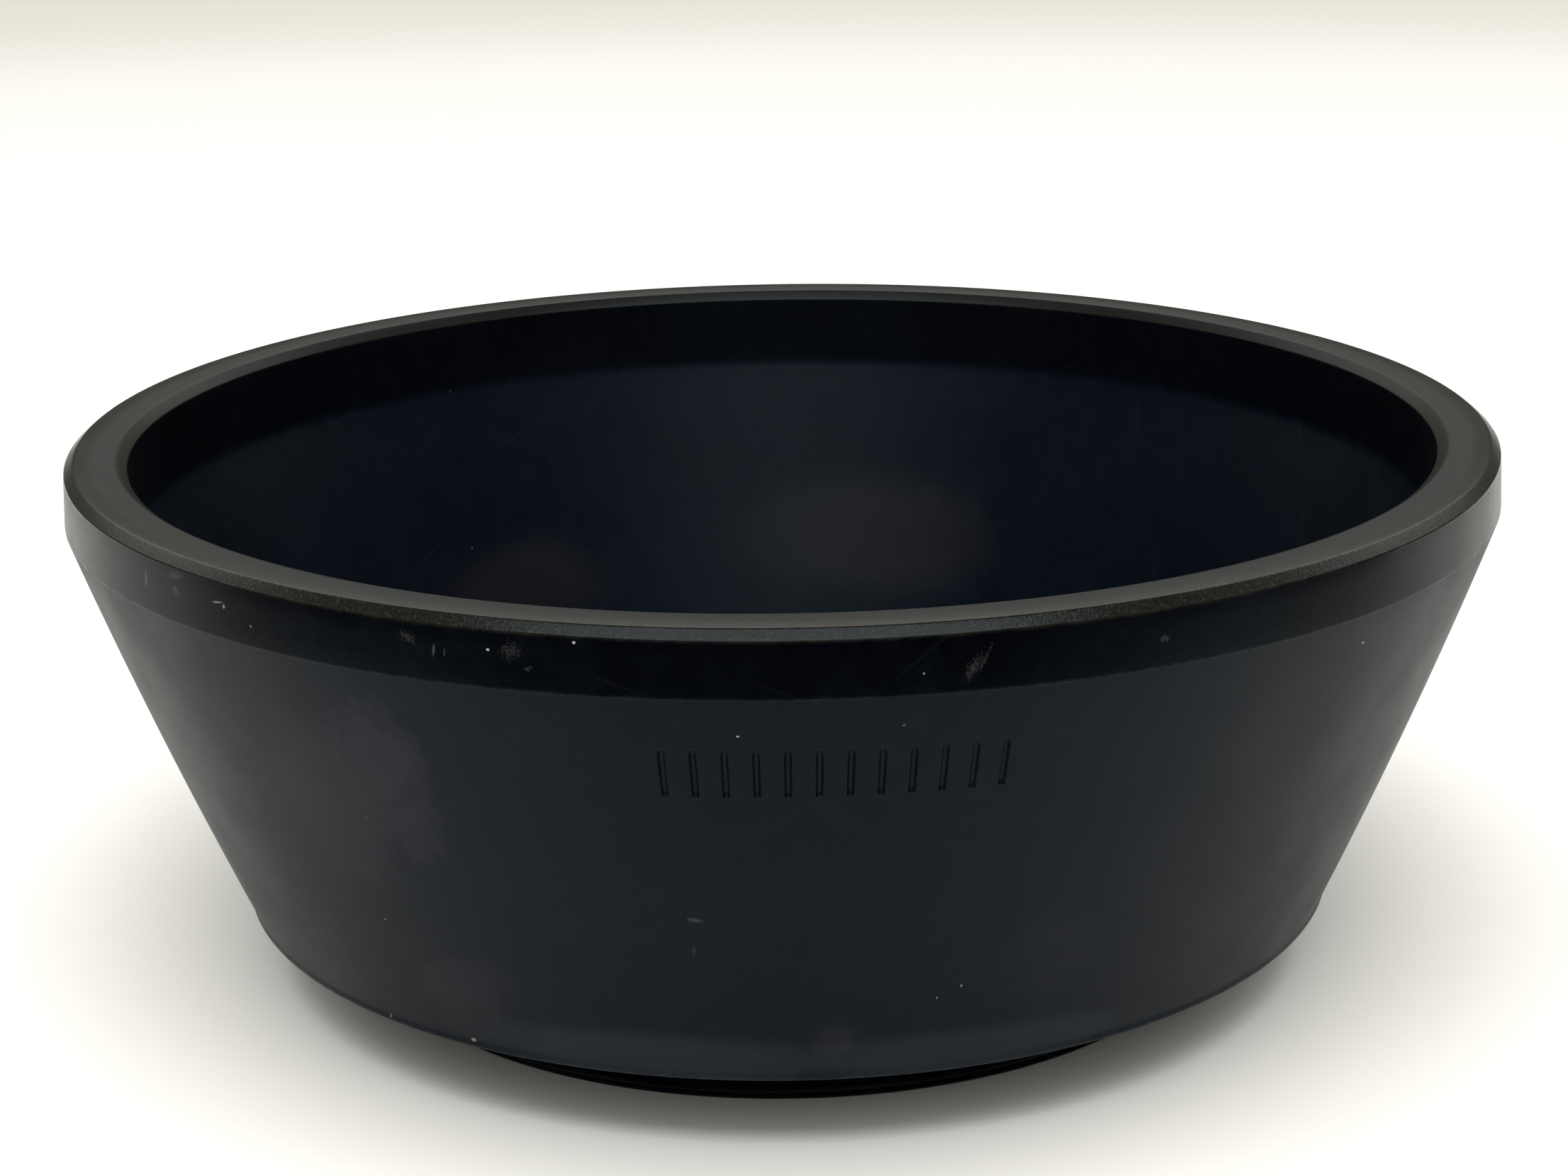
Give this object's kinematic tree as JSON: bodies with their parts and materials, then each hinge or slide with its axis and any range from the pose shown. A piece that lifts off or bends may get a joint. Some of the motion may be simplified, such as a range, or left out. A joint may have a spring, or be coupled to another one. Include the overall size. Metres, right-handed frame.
{
  "type": "lens hood",
  "caption": "Flared round lens hood with a broad front rim and a short threaded mounting ring at its narrow end.",
  "frame": {"origin": "centre of the threaded end's face, which is the lowest point when the hood stands mouth up", "axes": "+Z along the optical axis from the threaded end to the wide mouth; the hood is round about Z; the row of index ticks faces -Y"},
  "size_m": [0.0652, 0.0652, 0.0248],
  "materials": {
    "body_plastic": "matte black moulded plastic, fine grain, slightly rubbed on the rim",
    "ring_plastic": "matte black plastic with a cut thread, slightly glossier on the crests"
  },
  "bodies": {
    "root": {"hood_body": "body_plastic", "threaded_mount_ring": "ring_plastic"}
  },
  "joints": []
}
